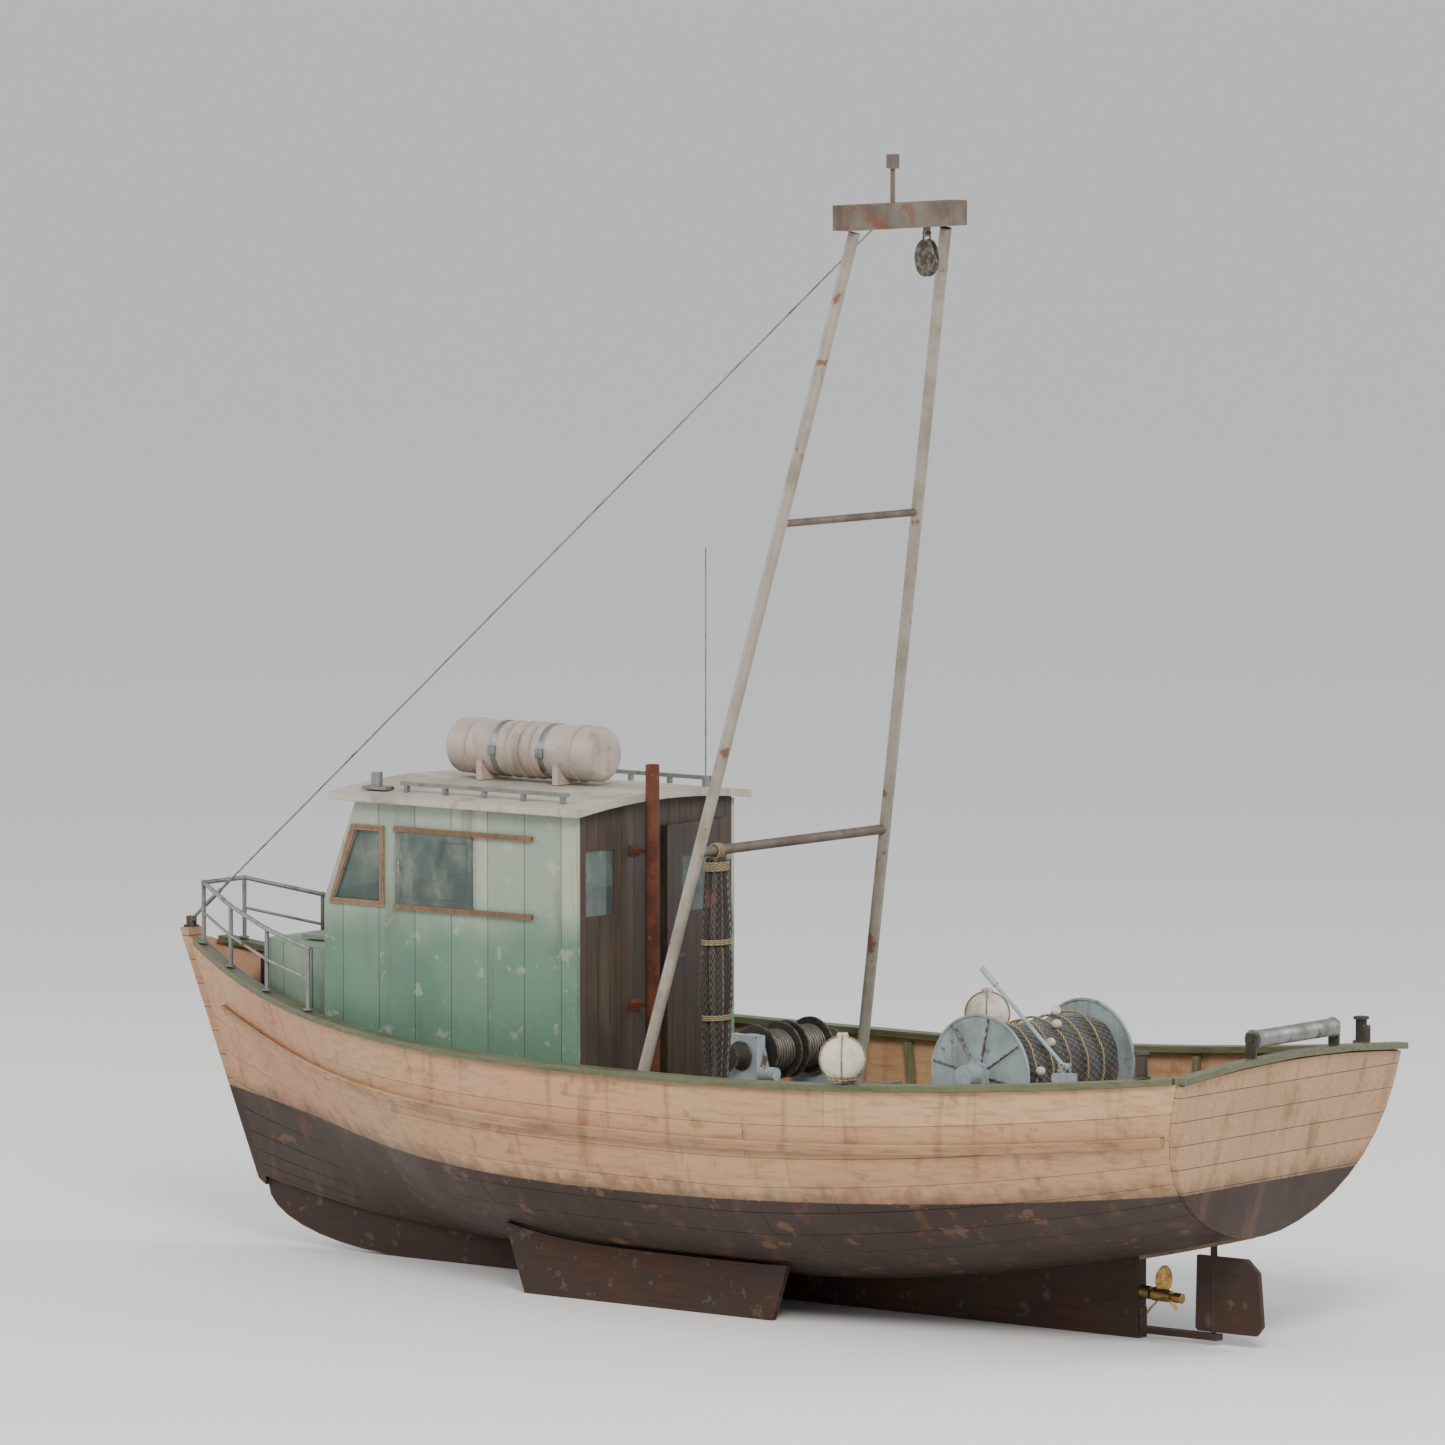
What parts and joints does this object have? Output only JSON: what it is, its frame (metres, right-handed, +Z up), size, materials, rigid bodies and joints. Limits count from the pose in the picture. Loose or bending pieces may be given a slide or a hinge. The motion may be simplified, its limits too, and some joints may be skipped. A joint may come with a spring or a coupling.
{
  "type": "inshore fishing boat",
  "caption": "Small round-bilged wooden inshore trawler with a raised foredeck, forward wheelhouse, leaning aft gantry, trawl winch, net drum, rudder and propeller.",
  "frame": {"origin": "underside of the keel on the centreline, amidships of the planked length", "axes": "+X towards the bow, +Y to port, +Z up"},
  "size_m": [9.107, 3.047, 7.3725],
  "materials": {
    "hull_paint": "weathered tan oil paint on planks",
    "antifouling": "matt dark brown antifouling paint",
    "olive_paint": "worn olive green gloss paint",
    "teal_paint": "faded teal green paint",
    "pale_paint": "faded pale grey-green paint",
    "bare_timber": "oiled and weathered timber",
    "deck_timber": "scrubbed silvery deck planks",
    "galvanised": "dull galvanised steel",
    "painted_steel": "chipped pale blue-grey paint",
    "dark_steel": "dark paint with rust",
    "bronze": "dull bronze",
    "rusty_steel": "rust-brown",
    "engine_paint": "oily green engine enamel",
    "window_glass": "salt-hazed window glass",
    "white_plastic": "chalky off-white moulding",
    "net_twine": "dark tarred trawl net"
  },
  "bodies": {
    "hull": {"keel": "antifouling", "hog_and_horn_timber": "bare_timber", "stem": "hull_paint", "port_planking": "hull_paint", "starboard_planking": "hull_paint", "frames": "bare_timber", "floors_and_bearers": "bare_timber", "transom": "hull_paint", "deck_beams": "bare_timber", "main_deck": "deck_timber", "foredeck": "deck_timber", "bulkheads": "bare_timber", "cap_rail": "olive_paint", "rub_rails": "hull_paint", "bulwark_stanchions": "hull_paint", "bilge_keels": "antifouling", "skeg_shoe": "dark_steel", "trunk_cabin": "pale_paint", "pulpit": "galvanised", "wheelhouse_sides": "teal_paint", "wheelhouse_front": "teal_paint", "wheelhouse_aft": "bare_timber", "wheelhouse_roof": "pale_paint", "window_frames": "bare_timber", "window_glass": "window_glass", "door_hinges": "galvanised", "helm_console": "bare_timber", "roof_fittings": "bare_timber", "liferaft": "white_plastic", "exhaust_stack": "rusty_steel", "engine": "engine_paint", "gearbox": "engine_paint", "fuel_tank": "painted_steel", "stern_tube": "bronze", "rudder_tube": "bronze", "gantry_legs": "painted_steel", "gantry_beams": "dark_steel", "forestay": "galvanised", "hung_net": "net_twine", "winch_frame": "painted_steel", "net_drum_stands": "painted_steel", "fish_hatch_coaming": "bare_timber", "floats": "white_plastic", "deck_fittings": "dark_steel"},
    "rudder": {"rudder": "dark_steel", "tiller_arm": "galvanised"},
    "shaft": {"propeller_shaft": "galvanised", "propeller": "bronze"},
    "helm": {"steering_wheel": "bare_timber"},
    "throttle": {"throttle_lever": "galvanised"},
    "door": {"door": "bare_timber"},
    "window": {"sliding_window": "bare_timber"},
    "fore_hatch": {"fore_hatch": "pale_paint"},
    "fish_hatch": {"fish_hatch_cover": "olive_paint"},
    "winch": {"winch_drums": "rusty_steel"},
    "drum": {"net_drum": "net_twine"},
    "lever": {"control_lever": "painted_steel"},
    "roller": {"stern_roller": "galvanised"},
    "block": {"hauling_block": "dark_steel"},
    "sheave": {"block_sheave": "galvanised"}
  },
  "joints": [
    {"name": "rudder_turn", "type": "hinge", "parent": "hull", "child": "rudder", "pos_m": [-3.95, 0, 0.5], "axis": [0, 0, 1], "range_deg": [-35, 35]},
    {"name": "helm_turn", "type": "hinge", "parent": "hull", "child": "helm", "pos_m": [2.03, 0.38, 1.99], "axis": [1, 0, 0], "range_deg": [-530, 530]},
    {"name": "shaft_spin", "type": "hinge", "parent": "hull", "child": "shaft", "pos_m": [-3.56, 0, 0.28], "axis": [0.9976, 0, 0.0698], "continuous": true},
    {"name": "throttle_tilt", "type": "hinge", "parent": "hull", "child": "throttle", "pos_m": [2.19, 0.58, 2.17], "axis": [0, 1, 0], "range_deg": [-40, 40]},
    {"name": "door_swing", "type": "hinge", "parent": "hull", "child": "door", "pos_m": [0.456, -0.704, 2.1], "axis": [0, 0, 1], "range_deg": [0, 110]},
    {"name": "window_slide", "type": "slide", "parent": "hull", "child": "window", "axis": [-1, 0, 0], "range_m": [0, 0.48]},
    {"name": "fore_hatch_lift", "type": "hinge", "parent": "hull", "child": "fore_hatch", "pos_m": [2.71, 0, 2.104], "axis": [0, -1, 0], "range_deg": [0, 95]},
    {"name": "fish_hatch_lift", "type": "slide", "parent": "hull", "child": "fish_hatch", "axis": [0, 0, 1], "range_m": [0, 0.6]},
    {"name": "winch_spin", "type": "hinge", "parent": "hull", "child": "winch", "pos_m": [-0.56, 0, 1.61], "axis": [0, 1, 0], "continuous": true},
    {"name": "net_drum_spin", "type": "hinge", "parent": "hull", "child": "drum", "pos_m": [-2.55, 0, 1.65], "axis": [0, 1, 0], "continuous": true},
    {"name": "control_lever_tilt", "type": "hinge", "parent": "hull", "child": "lever", "pos_m": [-3.34, 0.75, 1.77], "axis": [0, 1, 0], "range_deg": [-18, 18]},
    {"name": "stern_roller_spin", "type": "hinge", "parent": "hull", "child": "roller", "pos_m": [-4.54, 0, 2], "axis": [0, 1, 0], "continuous": true},
    {"name": "block_swing", "type": "hinge", "parent": "hull", "child": "block", "pos_m": [-1.49, -0.28, 6.866], "axis": [1, 0, 0], "range_deg": [-35, 35]},
    {"name": "sheave_spin", "type": "hinge", "parent": "block", "child": "sheave", "pos_m": [-1.49, -0.28, 6.676], "axis": [0, 1, 0], "continuous": true}
  ],
  "couplings": [
    {"joint": "helm_turn", "follows": "rudder_turn", "ratio": 15}
  ]
}
